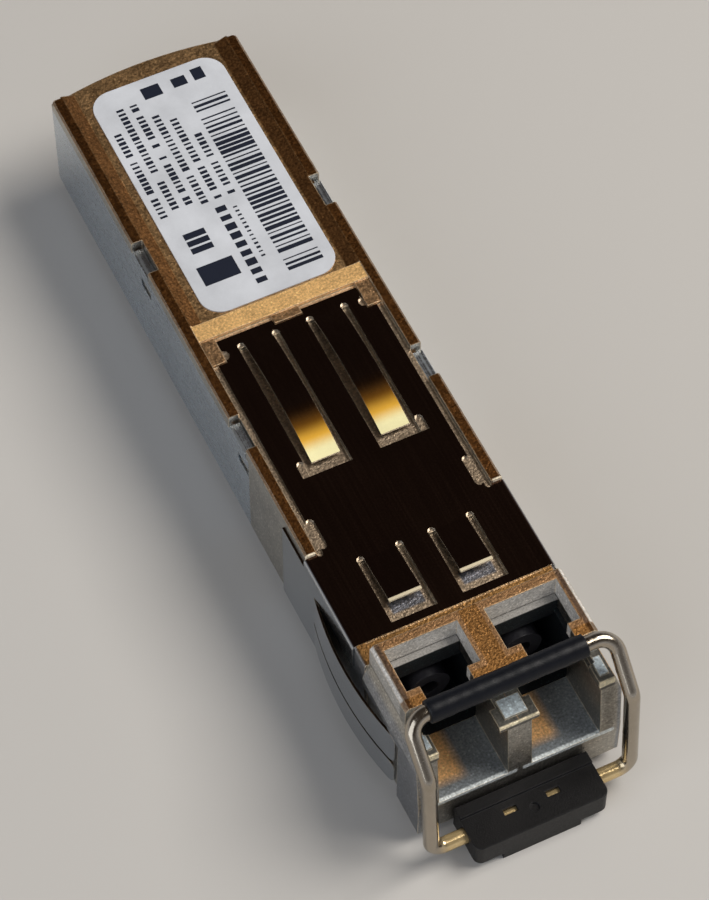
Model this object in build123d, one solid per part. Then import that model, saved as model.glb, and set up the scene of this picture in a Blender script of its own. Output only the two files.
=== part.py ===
from build123d import *
import os

# A pluggable two-port optical transceiver with a wire bail.
# X runs to the right and Y to the rear as seen from the front, and Z is up.
# The sizes below are laid out from the module's own datum: x = 0 is the middle plane, y = 0 is the
# front lip of the nose and z = 0 is the flat underside of the body. The last function moves the
# finished pieces so that the origin is the middle of the floor under them. Millimetres.

# Body
overall_length = 55.2
rear_bow = 0.6
body_width = 13.4
body_height = 8.5
nose_length = 7.7
sheet = 0.15
cover_sheet = 0.3
wall = 0.8
body_edge = 0.2
deck_z = body_height - 0.4
ceiling_z = deck_z - 0.55
seat_z = body_height - 1.0
label_floor_z = deck_z + 0.1

# Top rails, their notches, and the bar across the top
rail_width = 0.75
rail_edge = 0.12
rail_corner = 0.3
rail_front_y = 15.9
ramp_width = 0.85
notch_middles_y = (25.85, 40.8)
notch_length = 2.6
snap_size = (1.5, 0.8)
snap_drop = 0.9
snap_gap = 0.15
snap_reach = 0.2
bar_front_y = 33.2
bar_depth = 1.3
bar_z = body_height - 0.05
key_width = 1.0
key_depth = 2.0
key_gap = 0.05

# Ports
port_pitch = 6.25
port_width = 4.65
port_floor_z = 2.85
insert_front_y = 4.4
insert_wall = 0.45
insert_gap = 0.04
insert_rim = 1.1
bulkhead_y = 11.55
bulkhead = 1.0
bay_floor = 0.85

# Nose
nose_width = 13.7
crown_width = 12.8
crown_rise = 2.7
crown_plate = 1.1
flare_z = body_height - 0.2
ledge_z = body_height - 1.7
crown_front_y = 2.9
crown_edge = 0.25
front_lean = 0.5
post_cap_half = 1.32
post_cap_rise = 0.4
side_cap_rise = 0.7
side_cap_width = 1.05
mouth_inner_x = 1.78
side_lip_width = 1.5
window_inner_x = 0.9
window_rim = 0.65
window_front_y = 4.05
window_rear_y = 7.1
pad_size = (1.5, 1.3, 0.15)
pad_setback = 0.95
side_pad_width = 0.6
finger_recess = 0.35
finger_clearance = 0.1
pillar_depth = 2.9

# Optical pieces behind the ports
ferrule_bore = 1.26
bore_length = 4.7
barrel_share = 0.62
barrel_front_y = 6.2
barrel_hole_gap = 0.4
barrel_insert_gap = 0.1
flange_gap = 0.05
flange = 1.0
barrel_body = 2.0
barrel_step = 0.2
plate_gap = 0.05
barrel_shield_sheet = 0.2
clip_sheet = 0.3
can_cap = 1.5
can_gap = 0.3
can_header = 1.0
can_step = 0.7
can_socket_gap = 0.1
pin_circle = 2.54
pin_diameter = 0.4
pin_length = 0.7
pin_root = 0.1
pin_hole_gap = 0.03
flex_sheet = 0.12
flex_width = 3.6
flex_bend = 0.4
flex_foot = 1.8
flex_gap = 0.02
flex_top_drop = 0.6

# Circuit board and what is on it
board_under_z = 2.25
board = 1.0
board_front_y = 20.5
board_end_y = 52.0
board_width = 10.6
board_tongue_width = 9.2
board_tongue_y = 44.0
board_end_edge = 0.3
contact_pitch = 0.8
contact_count = 10
contact_size = (0.55, 3.2, 0.05)
contact_setback = 0.4
package_edge = 0.08
driver_size = (3.0, 3.0, 0.9)
amplifier_size = (3.0, 3.0, 0.85)
controller_size = (5.0, 5.0, 1.0)
memory_size = (3.0, 4.4, 1.3)
chip_row_y = 27.0
controller_y = 33.5
memory_y = 40.3
heat_pad = 0.7
heat_pad_inset = 0.15
heat_boss_inset = 0.1
capacitor_size = (0.5, 1.0, 0.5)
resistor_size = (0.5, 1.0, 0.35)
inductor_size = (1.25, 2.0, 1.2)
capacitor_x = 4.6
capacitor_rows_y = (24.6, 33.2, 35.0, 39.2)
resistor_x = 3.6
resistor_rows_y = (32.5, 34.5, 38.2, 40.2)
inductor_y = 44.8
inductor_gap = 2.6
rib_rows_y = (30.0, 37.0, 42.0)
rib_depth = 1.2
rib_overlap = 0.3

# Bottom cover
cover_front_y = 24.2
cover_gap = 0.05
tab_gap = 0.15
connector_gap = 0.3
connector_setback = 0.8
lance_middles_y = (31.5, 41.5)
lance_width = 1.5
lance_root_x = 3.2
lance_inset = 0.25

# Shield sheet, which wraps the front of the body
shield_setback = 1.4
shield_side_rear_y = 19.0
shield_rear_y = 32.9
shield_edge_gap = 0.4
shield_bend = 0.3
slot = 0.45
slot_end = 0.26
wing = 0.5
long_tongue_x = (1.42, 3.38)
long_root_y = 31.9
long_tip_y = 22.05
long_front_slot = 0.85
long_rise = 0.5
long_tip_gap = 0.05
short_tongue_x = (1.32, 3.5)
short_root_y = 14.4
short_tip_y = 10.87
short_front_slot = 1.2
short_rise = 0.32
finger_root_y = 14.5
finger_tip_y = 3.5
finger_crest_y = 8.6
finger_bow = 0.6
finger_tuck = 0.11
finger_corner = 0.6
finger_bands_z = ((0.4, 2.7), (2.95, body_height - 2.5))
spring_pocket = 0.25
belly_tongue_x = (3.7, 5.3)
belly_root_y = 22.5
belly_tip_y = 16.5
belly_drop = 0.3
belly_tip_drop = 0.02
belly_inset = 0.6
latch_opening_gap = 0.15
latch_opening_end_y = 15.0

# Latch boss and the delatch slider under the nose
channel_width = 6.3
channel_height = 1.05
channel_end_y = 14.0
boss_setback = 2.5
boss_length = 2.6
boss_width = 2.6
boss_drop = 0.45
boss_flat = 0.7
boss_side_gap = 0.2
boss_front_gap = 0.6
slider_gap = 0.1
slider_travel = 1.2
tine_tip_y = 13.2
wedge_length = 1.6
wedge_drop = 0.35
wedge_flat = 0.5
lug_y = 4.0
lug_length = 1.0
lug_reach = 0.3
strap = 0.8
grip_width = 9.0
grip_front_y = -3.3
grip_gap = 0.15
grip_top_z = 1.45
grip_under_z = -0.4
grip_step = 0.15
grip_step_y = -0.95
grip_corner = 0.5
lip_width = 5.3
lip_drop = 0.6
lip_setback = 1.0
peep_x = 1.45
peep_size = (0.9, 0.4)
dimple_radius = 0.3
dimple_depth = 0.12
dimple_setback = 0.45

# Bail
wire = 1.0
wire_clearance = 0.05
wire_end_gap = 0.1
bail_half_width = 6.75
pivot_y = -1.65
pivot_z = 0.7
knee_y = -0.95
knee_z = 8.1
cross_y = 1.9
cross_rise = 0.8
bail_corner = 1.2
bail_foot_corner = 0.9
bail_knee_corner = 1.0
wire_end_x = 0.9
tube_ends_x = (-5.5, 4.9)
tube_diameter = 1.5
tube_clearance = 0.02

# Label
label_x = (-4.55, 4.9)
label_y = (34.75, 54.4)
label_corner = 1.5
label_film = 0.1

# Sizes that follow from the ones above
half_body = body_width / 2
half_nose = nose_width / 2
half_crown = crown_width / 2
rail_x = half_body - rail_width
ramp_x = rail_x - ramp_width
core_x = half_body - cover_sheet
cavity_x = core_x - wall
shield_front_y = nose_length + shield_setback
shield_x = half_body + sheet
board_top_z = board_under_z + board
port_height = seat_z - port_floor_z
port_x = port_pitch / 2
port_inner_x = port_x - port_width / 2
port_outer_x = port_x + port_width / 2
port_top_z = port_floor_z + port_height
port_z = port_floor_z + port_height / 2
crown_z = port_top_z + crown_rise
crown_under_z = crown_z - crown_plate
post_cap_z = port_top_z + post_cap_rise
side_cap_z = port_top_z + side_cap_rise
side_cap_inner_x = half_crown - side_cap_width
mouth_outer_x = half_crown - side_lip_width
window_outer_x = half_crown - window_rim
cross_z = crown_z + cross_rise
nest_x = port_outer_x + insert_wall + insert_gap
nest_floor_z = port_floor_z - insert_wall - insert_gap
bay_front_y = bulkhead_y + bulkhead
bay_floor_z = channel_height + bay_floor
flange_diameter = min(port_width, port_height) - flange_gap
barrel_diameter = barrel_share * (flange_diameter + flange_gap)
barrel_body_diameter = flange_diameter - 2 * barrel_step
can_cap_diameter = flange_diameter - 2 * can_step
flange_y = bay_front_y + barrel_shield_sheet
body_y = flange_y + flange
header_y = body_y + barrel_body + can_gap
header_rear_y = header_y + can_header
flex_top_z = port_z + flange_diameter / 2 - flex_top_drop
boss_y = nose_length + boss_setback
lowest_z = grip_under_z - lip_drop
bore_radius = wire / 2 + wire_clearance
lance_x = board_width / 2 - lance_inset
past = 1.0


def block(x, y, z):
    """A box from its low and high ends along X, Y and Z."""
    middle = [(low + high) / 2 for low, high in (x, y, z)]
    return Pos(*middle) * Box(*[high - low for low, high in (x, y, z)])


def wide(half, y, z):
    """A box centred on the middle plane."""
    return block((-half, half), y, z)


def pair(shape):
    """A piece on the right and its mirror image on the left."""
    return [shape, mirror(shape, about=Plane.YZ)]


def twin(x, y, z):
    """Two boxes, one each side of the middle plane."""
    return pair(block(x, y, z))


def rod(x, z, y, radius):
    """A round bar along Y."""
    length = y[1] - y[0]
    return Pos(x, (y[0] + y[1]) / 2, z) * Rot(90, 0, 0) * Cylinder(radius, length)


def side_shape(points, x):
    """A closed side view, given in Y and Z, extruded across X."""
    face = Plane.YZ * make_face(Polyline(*points, close=True))
    return Pos(x[0], 0, 0) * extrude(face, x[1] - x[0])


def end_shape(points, y):
    """A closed end view, given in X and Z, extruded along Y."""
    face = Plane.XZ * make_face(Polyline(*points, close=True))
    return Pos(0, y[1], 0) * extrude(face, y[1] - y[0])


def stud(x, z, y, radius):
    """A thin bar along Y, drawn with eight sides because it is too small to look any rounder."""
    return Pos(x, y[1], z) * extrude(Plane.XZ * RegularPolygon(radius, 8), y[1] - y[0])


def post(x, y, radius, z):
    """A thin bar along Z, drawn with eight sides."""
    return Pos(x, y, z[0]) * extrude(RegularPolygon(radius, 8), z[1] - z[0])


# Housing

def nose_blank():
    """The nose as cast: a wide lower part that flares in to a narrower raised crown."""
    right = [(half_nose, 0), (half_nose, ledge_z), (half_crown, flare_z), (half_crown, crown_z - crown_edge),
             (half_crown - crown_edge, crown_z)]
    left = [(-x, z) for x, z in reversed(right)]
    blank = end_shape(right + left, (0, nose_length))
    lean = side_shape(
        [(-past, port_floor_z), (0, port_floor_z), (front_lean, post_cap_z), (front_lean, crown_z + past),
         (-past, crown_z + past)], (-half_nose - past, half_nose + past))
    before = (-past, crown_front_y)
    above_caps = wide(half_nose, before, (side_cap_z, crown_z + past))
    above_post = wide(side_cap_inner_x, before, (post_cap_z, crown_z + past))
    recess = twin((half_nose - finger_recess, half_nose + past), (pillar_depth, nose_length),
                  (-past, finger_bands_z[1][1] + finger_clearance))
    return blank - lean - above_caps - above_post - recess


def rail():
    """The right-hand rail, with a ramp down to the label recess behind the bar."""
    bar_rear = bar_front_y + bar_depth
    bar = block((rail_x, half_body), (rail_front_y, overall_length), (deck_z, body_height))
    bar = fillet(bar.edges().filter_by(Axis.Z).sort_by_distance((half_body, overall_length, deck_z))[0], rail_corner)
    bar = chamfer(bar.edges().sort_by_distance((half_body, bar_rear, body_height))[0], rail_edge)
    ramp = end_shape([(rail_x + rail_edge, deck_z), (rail_x + rail_edge, body_height), (rail_x, body_height),
                      (ramp_x, label_floor_z), (ramp_x, deck_z)], (bar_rear, overall_length))
    return bar + ramp


def rear_edge():
    """The rear edge of the deck, which bows out a little in the middle."""
    ends = (-rail_x, overall_length), (rail_x, overall_length)
    bow = ThreePointArc(ends[0], (0, overall_length + rear_bow), ends[1])
    face = make_face([bow, Line(ends[1], ends[0])])
    return Pos(0, 0, ceiling_z) * extrude(face, label_floor_z - ceiling_z)


def body_blank():
    """The body behind the nose: solid to the underside in front, narrower above the cover behind."""
    front = wide(half_body, (nose_length, rail_front_y), (0, deck_z))
    front = fillet(front.edges().filter_by(Axis.Y), body_edge)
    middle = wide(half_body, (rail_front_y, cover_front_y), (0, deck_z))
    middle = fillet(middle.edges().filter_by(Axis.Y).group_by(Axis.Z)[0], body_edge)
    core = wide(core_x, (cover_front_y, overall_length), (cover_sheet, seat_z))
    deck = wide(half_body, (cover_front_y, overall_length), (seat_z, deck_z))
    label_floor = wide(rail_x, (bar_front_y, overall_length), (deck_z, label_floor_z))
    rails = pair(rail())
    bar = wide(rail_x, (bar_front_y, bar_front_y + bar_depth), (deck_z, bar_z))
    return front + middle + core + deck + label_floor + rails + bar + rear_edge()


def bar_keys():
    """Cast keys in front of the bar that locate the shield sheet."""
    lug_rear = bar_front_y
    corners = twin((rail_x - key_width, rail_x), (lug_rear - key_depth, lug_rear), (deck_z, bar_z - 0.1))
    middle = wide(key_width - key_gap, (lug_rear - key_depth / 3, lug_rear), (deck_z, bar_z - 0.1))
    return corners + [middle]


def cap_pads():
    """Low pads on the caps of the middle post and of the side walls."""
    width, depth, rise = pad_size
    y = (pad_setback, pad_setback + depth)
    side_x = (side_cap_inner_x + half_crown) / 2
    half = side_pad_width / 2
    middle = wide(width / 2, y, (post_cap_z, post_cap_z + rise))
    sides = twin((side_x - half, side_x + half), y, (side_cap_z, side_cap_z + rise))
    return sides + [middle]


def port_cuts():
    """The two ports, the latch mouths above them and the latch windows in the crown."""
    top = crown_z + past
    front = (-past, insert_front_y)
    ports = twin((port_inner_x, port_outer_x), front, (port_floor_z, port_top_z))
    between_caps = twin((post_cap_half, side_cap_inner_x), (-past, crown_front_y), (port_top_z, top))
    mouths = twin((mouth_inner_x, mouth_outer_x), (crown_front_y - past, window_front_y), (port_top_z, top))
    windows = twin((window_inner_x, window_outer_x), (window_front_y, window_rear_y), (port_top_z, top))
    under_crown = twin((window_inner_x, window_outer_x - insert_gap), (crown_front_y - past, insert_front_y),
                       (port_top_z, crown_under_z))
    nest = wide(nest_x, (insert_front_y, bulkhead_y), (nest_floor_z, seat_z))
    return ports + between_caps + mouths + windows + under_crown + [nest]


def bay_cuts():
    """The bay behind the bulkhead, open below behind the front, and the holes for the barrels."""
    front_bay = wide(cavity_x, (bay_front_y, cover_front_y), (bay_floor_z, ceiling_z))
    rear_bay = wide(cavity_x, (cover_front_y - past, overall_length + past), (bay_floor_z, ceiling_z))
    below = wide(cavity_x, (cover_front_y, overall_length + past), (-past, bay_floor_z + past))
    radius = barrel_diameter / 2 + barrel_hole_gap
    holes = pair(rod(port_x, port_z, (bulkhead_y - past, bay_front_y + past), radius))
    return [front_bay, rear_bay, below] + holes


def channel_cuts():
    """The slider's channel under the nose, with side pockets for the slider's stop lugs."""
    half = channel_width / 2
    channel = wide(half, (-past, channel_end_y), (-past, channel_height))
    front = lug_y - slider_travel - slider_gap
    pockets = wide(half + lug_reach, (front, lug_y + lug_length + slider_gap), (-past, channel_height))
    return [channel, pockets]


def latch_boss():
    """The fixed boss that the cage's latch catches, with its ramp to the rear."""
    low = -sheet - boss_drop
    rear = boss_y + boss_length
    points = [(boss_y, channel_height), (boss_y, low), (boss_y + boss_flat, low), (rear, -sheet),
              (rear, channel_height)]
    return side_shape(points, (-boss_width / 2, boss_width / 2))


def notch_cuts():
    """Gaps in the rails where the cover's tabs fold over."""
    return [cut for y in notch_middles_y
            for cut in twin((rail_x, half_body + past), (y - notch_length / 2, y + notch_length / 2),
                            (seat_z, body_height + past))]


def snap_windows(inner, outer, shrink):
    """Small rectangles on the side walls, one under the front end of each notch."""
    length, height = snap_size
    top = seat_z - snap_drop
    boxes = []
    for y in notch_middles_y:
        rear = y - notch_length / 2 + 5 * length / 6
        boxes += twin((inner, outer), (rear - length + shrink, rear - shrink), (top - height + shrink, top - shrink))
    return boxes


def tongue_pockets():
    """Shallow pockets in the deck that let the shield's tongues bend in."""
    depth = (deck_z - spring_pocket, deck_z + past)
    long_x = (long_tongue_x[0] - slot, long_tongue_x[1] + slot)
    short_x = (short_tongue_x[0] - slot, short_tongue_x[1] + slot)
    return (twin(long_x, (long_tip_y - long_front_slot, long_root_y), depth)
            + twin(short_x, (short_tip_y - short_front_slot, short_root_y), depth))


def board_ribs():
    """Ribs inside the side walls that the circuit board is pressed against."""
    half = rib_depth / 2
    return [rib for y in rib_rows_y
            for rib in twin((board_width / 2 - rib_overlap, cavity_x), (y - half, y + half), (board_top_z, ceiling_z))]


def heat_boss():
    """A block under the deck that takes the heat of the laser driver."""
    half = driver_size[0] / 2 - heat_boss_inset
    bottom = board_top_z + driver_size[2] + heat_pad
    return block((-port_x - half, -port_x + half), (chip_row_y - half, chip_row_y + half), (bottom, ceiling_z))


def housing():
    """The cast housing: nose, ports, deck, rails and side walls in one piece."""
    cast = nose_blank() + body_blank() + bar_keys() + cap_pads()
    cast = cast - port_cuts() - bay_cuts() - channel_cuts() - notch_cuts() - tongue_pockets()
    cast = cast + latch_boss() + board_ribs() + heat_boss()
    return cast + snap_windows(core_x, core_x + snap_reach, snap_gap)


# Bottom cover

def bottom_cover():
    """The folded cover that closes the body behind the shield, with tabs over the rail notches."""
    front = cover_front_y + cover_gap
    y = (front, overall_length)
    outside = wide(half_body, y, (0, seat_z))
    outside = fillet(outside.edges().filter_by(Axis.Y).group_by(Axis.Z)[0], cover_sheet)
    cover = outside - wide(core_x, (front - past, overall_length + past), (cover_sheet, seat_z + past))
    tab_half = notch_length / 2 - tab_gap
    for middle in notch_middles_y:
        span = (middle - tab_half, middle + tab_half)
        cover += twin((core_x, half_body), span, (seat_z - past, seat_z + cover_sheet))
        cover += twin((rail_x + cover_gap, half_body), span, (seat_z, seat_z + cover_sheet))
    connector_cut = wide(board_width / 2 + connector_gap, (board_tongue_y + connector_setback, overall_length + past),
                         (-past, cover_sheet + past))
    cover = cover - connector_cut - snap_windows(core_x - past, half_body + past, 0)
    for middle in lance_middles_y:
        span = (middle - lance_width / 2, middle + lance_width / 2)
        cover -= twin((lance_root_x, lance_x - cover_sheet), span, (-past, cover_sheet + past))
        cover += twin((lance_x - cover_sheet, lance_x), span, (0, board_under_z))
    return cover


# Shield

def shield_wrap():
    """The part of the shield that is folded round the body, before its tongues are cut."""
    y = (shield_front_y, shield_side_rear_y)
    outside = wide(shield_x, y, (-sheet, deck_z + sheet))
    outside = fillet(outside.edges().filter_by(Axis.Y), shield_bend)
    inside = wide(half_body, (y[0] - past, y[1] + past), (0, deck_z))
    inside = fillet(inside.edges().filter_by(Axis.Y), shield_bend - sheet)
    wrap = outside - inside
    wrap = wrap - wide(shield_x + past, (rail_front_y, y[1] + past), (seat_z, deck_z + past))
    top = wide(rail_x - shield_edge_gap, (rail_front_y, shield_rear_y), (deck_z, deck_z + sheet))
    belly = wide(half_body - belly_inset, (y[1], cover_front_y), (-sheet, 0))
    return wrap + top + belly


def shield_top_cuts():
    """Slots round the tongues, reliefs at the rear edge and the rounded ends of the edge gaps."""
    z = (deck_z - past, deck_z + past)
    cuts = []
    for x, root, tip, gap in ((long_tongue_x, long_root_y, long_tip_y, long_front_slot),
                              (short_tongue_x, short_root_y, short_tip_y, short_front_slot)):
        cuts += twin((x[0] - slot, x[1] + slot), (tip - gap, root), z)
        for slot_x in (x[0] - slot / 2, x[1] + slot / 2):
            cuts += pair(post(slot_x, root, slot_end, z))
    wing_x = long_tongue_x[1] + slot + wing
    cuts += twin((long_tongue_x[1], wing_x), (long_tip_y - long_front_slot, long_tip_y), z)
    cuts += twin((long_tongue_x[1], wing_x - slot_end), (long_tip_y, long_tip_y + slot_end / 2), z)
    cuts += pair(post(wing_x - slot_end, long_tip_y + slot_end / 2, slot_end, z))
    key_x = rail_x - key_width - key_gap
    cuts += twin((key_x, rail_x), (bar_front_y - key_depth - key_gap, shield_rear_y + past), z)
    cuts += pair(post(key_x, bar_front_y - 0.75 * key_depth, 1.4 * slot_end, z))
    cuts.append(wide(key_width, (bar_front_y - key_depth / 3 - key_gap, shield_rear_y + past), z))
    edge_x = rail_x - shield_edge_gap / 2
    cuts += pair(post(edge_x, rail_front_y, shield_edge_gap / 2, z))
    widened_x = edge_x - shield_edge_gap
    widened_y = (rail_front_y + slot, rail_front_y + 5 * slot)
    cuts += twin((widened_x - slot_end, edge_x), widened_y, z)
    for y in widened_y:
        cuts += pair(post(widened_x, y, slot_end, z))
    return cuts


def long_tongue():
    """A long tongue that bows up out of the sheet and comes down again at its free tip."""
    crest_y = (long_root_y + long_tip_y) / 2
    tip_z = deck_z + long_tip_gap
    lower = ThreePointArc((long_root_y, deck_z), (crest_y, deck_z + long_rise), (long_tip_y, tip_z))
    upper = ThreePointArc((long_root_y, deck_z + sheet), (crest_y, deck_z + long_rise + sheet),
                          (long_tip_y, tip_z + sheet))
    face = make_face([lower, upper, Line(lower @ 0, upper @ 0), Line(lower @ 1, upper @ 1)])
    bowed = extrude(Plane.YZ * face, long_tongue_x[1] - long_tongue_x[0])
    return Pos(long_tongue_x[0], 0, 0) * bowed


def short_tongue():
    """A short tongue that rises straight to its free tip."""
    points = [(short_root_y, deck_z), (short_tip_y, deck_z + short_rise),
              (short_tip_y, deck_z + short_rise + sheet), (short_root_y, deck_z + sheet)]
    return side_shape(points, short_tongue_x)


def side_finger(band):
    """A long finger that bows out from the side and tucks in beside the nose."""
    length = finger_root_y - finger_tip_y
    inner, outer = [ThreePointArc((x, finger_root_y), (x + finger_bow, finger_crest_y), (x - finger_tuck, finger_tip_y))
                    for x in (half_body, shield_x)]
    face = make_face([inner, outer, Line(inner @ 0, outer @ 0), Line(inner @ 1, outer @ 1)])
    finger = Pos(0, 0, band[0]) * extrude(face, band[1] - band[0])
    side = RectangleRounded(length + 2 * finger_corner, band[1] - band[0], finger_corner)
    middle = finger_tip_y + length / 2 + finger_corner
    limits = extrude(Plane.YZ * Pos(middle, (band[0] + band[1]) / 2) * side, 2 * half_body)
    return finger & limits


def belly_tongue():
    """A spring on the underside that bows down."""
    crest_y = (belly_root_y + belly_tip_y) / 2
    upper = ThreePointArc((belly_root_y, 0), (crest_y, -belly_drop), (belly_tip_y, -belly_tip_drop))
    lower = ThreePointArc((belly_root_y, -sheet), (crest_y, -belly_drop - sheet),
                          (belly_tip_y, -belly_tip_drop - sheet))
    face = make_face([upper, lower, Line(upper @ 0, lower @ 0), Line(upper @ 1, lower @ 1)])
    bowed = extrude(Plane.YZ * face, belly_tongue_x[1] - belly_tongue_x[0])
    return Pos(belly_tongue_x[0], 0, 0) * bowed


def emi_shield():
    """The shield: one folded sheet with tongues on top, fingers on the sides and springs below."""
    low, high = finger_bands_z[0][0], finger_bands_z[1][1]
    side_openings = twin((half_body - past, shield_x + past), (shield_front_y - past, finger_root_y), (low, high))
    belly_z = (-past, past / 2)
    latch_opening = wide(channel_width / 2 + latch_opening_gap, (shield_front_y + strap, latch_opening_end_y), belly_z)
    belly_slots = twin((belly_tongue_x[0] - slot, belly_tongue_x[1] + slot),
                       (belly_tip_y - slot, belly_root_y), belly_z)
    formed = shield_wrap() - shield_top_cuts() - side_openings - belly_slots - latch_opening
    springs = pair(long_tongue()) + pair(short_tongue()) + pair(belly_tongue())
    for band in finger_bands_z:
        springs += pair(side_finger(band))
    return formed + springs


# Port insert and optical pieces

def port_insert():
    """The moulded insert that guides the two plugs behind the cast mouth."""
    gap = insert_gap
    half = nest_x - gap
    bottom = nest_floor_z + gap
    rear = bulkhead_y - gap
    body = wide(half, (insert_front_y + gap, rear), (bottom, seat_z - gap))
    passages = twin((port_inner_x, port_outer_x), (insert_front_y - past, rear - insert_wall),
                    (port_floor_z, seat_z + past))
    holes = pair(rod(port_x, port_z, (rear - past, rear + past), barrel_diameter / 2 + barrel_insert_gap))
    rim_front = window_rear_y - gap - insert_wall
    rim_y = (rim_front, window_rear_y - gap)
    rim_z = (seat_z - insert_wall, seat_z - gap)
    bridges = twin((port_inner_x, port_outer_x), rim_y, rim_z)
    rims = twin((window_inner_x + gap, min(window_outer_x, nest_x) - gap), rim_y, (rim_z[0], seat_z + insert_rim))
    return body - passages - holes + bridges + rims


def barrel(side):
    """A moulded optical barrel: ferrule bore in front, flange, and a socket for the can."""
    x = side * port_x
    tube = rod(x, port_z, (barrel_front_y, flange_y), barrel_diameter / 2)
    ring = rod(x, port_z, (flange_y, body_y), flange_diameter / 2)
    body = rod(x, port_z, (body_y, body_y + barrel_body), barrel_body_diameter / 2)
    bore = rod(x, port_z, (barrel_front_y - past, barrel_front_y + bore_length), ferrule_bore / 2)
    socket = rod(x, port_z, (header_y - can_cap - can_socket_gap, header_y + past), can_cap_diameter / 2 + flange_gap)
    return tube + ring + body - bore - socket


def pin_places(x):
    """Centres of a can's four pins, in X and Z."""
    reach = pin_circle / 2 * 0.7071
    return [(x + a * reach, port_z + b * reach) for a in (-1, 1) for b in (-1, 1)]


def can(side):
    """A sealed metal can with its header and pins."""
    x = side * port_x
    shape = rod(x, port_z, (header_y - can_cap, header_y), can_cap_diameter / 2)
    shape = shape + rod(x, port_z, (header_y, header_rear_y), flange_diameter / 2)
    for px, pz in pin_places(x):
        shape = shape + stud(px, pz, (header_rear_y - pin_root, header_rear_y + pin_length), pin_diameter / 2)
    return shape


def flex(side):
    """A flexible circuit from the can's pins down to the board."""
    x = side * port_x
    rear = board_front_y + flex_foot
    y0 = header_rear_y + flex_gap
    z0 = board_top_z
    points = [(y0, flex_top_z), (y0 + flex_sheet, flex_top_z), (y0 + flex_sheet, z0 + flex_sheet),
              (rear, z0 + flex_sheet), (rear, z0), (y0, z0)]
    ribbon = side_shape(points, (x - flex_width / 2, x + flex_width / 2))
    inner_corner = (x, y0 + flex_sheet, z0 + flex_sheet)
    ribbon = fillet(ribbon.edges().filter_by(Axis.X).sort_by_distance(inner_corner)[0], flex_bend)
    ribbon = fillet(ribbon.edges().filter_by(Axis.X).sort_by_distance((x, y0, z0))[0], flex_bend + flex_sheet)
    for px, pz in pin_places(x):
        ribbon = ribbon - stud(px, pz, (y0 - past, y0 + past), pin_diameter / 2 + pin_hole_gap)
    return ribbon


def barrel_shield():
    """A stamped plate between the bulkhead and the barrels' flanges."""
    plate = wide(cavity_x - plate_gap, (bay_front_y, flange_y), (bay_floor_z, ceiling_z - plate_gap))
    holes = pair(rod(port_x, port_z, (bay_front_y - past, flange_y + past), barrel_diameter / 2 + plate_gap))
    return plate - holes


def barrel_clip():
    """A stamped clip that slides over both barrel bodies and holds their flanges forward."""
    y = (body_y, body_y + clip_sheet)
    plate = wide(cavity_x - plate_gap, y, (bay_floor_z, port_z + barrel_body_diameter / 3))
    radius = barrel_body_diameter / 2 + plate_gap
    forks = pair(rod(port_x, port_z, (y[0] - past, y[1] + past), radius))
    throats = twin((port_x - radius, port_x + radius), (y[0] - past, y[1] + past), (port_z, ceiling_z))
    return plate - forks - throats


# Circuit board and its parts

def circuit_board():
    """The board: full width inside, and narrower where it is the plug's tongue."""
    z = (board_under_z, board_top_z)
    body = wide(board_width / 2, (board_front_y, board_tongue_y), z)
    tongue = wide(board_tongue_width / 2, (board_tongue_y, board_end_y), z)
    end_edges = tongue.edges().filter_by(Axis.X).group_by(Axis.Y)[-1]
    return body + chamfer(end_edges, board_end_edge)


def edge_contacts():
    """The plated fingers on both faces of the board's tongue."""
    width, length, thick = contact_size
    pads = []
    for index in range(contact_count):
        x = (index - (contact_count - 1) / 2) * contact_pitch
        y = (board_end_y - contact_setback - length, board_end_y - contact_setback)
        for low in (board_top_z, board_under_z - thick):
            pads.append(block((x - width / 2, x + width / 2), y, (low, low + thick)))
    return Compound(pads)


def on_board(size, x, y):
    """A plain package of the given size, standing on the board."""
    package = block((x - size[0] / 2, x + size[0] / 2), (y - size[1] / 2, y + size[1] / 2),
                    (board_top_z, board_top_z + size[2]))
    return chamfer(package.edges().group_by(Axis.Z)[-1], package_edge)


def small_parts(size, places):
    """Like packages at several places on the board."""
    return Compound([on_board(size, x, y) for x, y in places])


def heat_pad_piece():
    """A soft pad between the laser driver and the housing's boss."""
    half = driver_size[0] / 2 - heat_pad_inset
    z = board_top_z + driver_size[2]
    return block((-port_x - half, -port_x + half), (chip_row_y - half, chip_row_y + half), (z, z + heat_pad))


# Delatch slider and bail

def grip():
    """The block at the front of the slider, with the bore for the bail's ends."""
    y = (grip_front_y, -grip_gap)
    base = wide(grip_width / 2, y, (grip_under_z, grip_top_z))
    base = fillet(base.edges().filter_by(Axis.Z).group_by(Axis.Y)[0], grip_corner)
    step = wide(grip_width / 2, (grip_step_y, -grip_gap), (grip_top_z, grip_top_z + grip_step))
    lip = wide(lip_width / 2, (grip_front_y, pivot_y + lip_setback), (lowest_z, grip_under_z))
    bore_length = grip_width / 2 + past - wire_end_x + wire_end_gap
    bore_middle_x = wire_end_x - wire_end_gap + bore_length / 2
    bores = pair(Pos(bore_middle_x, pivot_y, pivot_z) * Rot(0, 90, 0) * Cylinder(bore_radius, bore_length))
    width, depth = peep_size
    peeps = twin((peep_x - width / 2, peep_x + width / 2), (pivot_y - depth / 2, pivot_y + depth / 2),
                 (pivot_z, grip_top_z + past))
    dimple = post(0, pivot_y - dimple_setback, dimple_radius, (grip_top_z - dimple_depth, grip_top_z + past))
    return base + step + lip - bores - peeps - dimple


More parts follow.
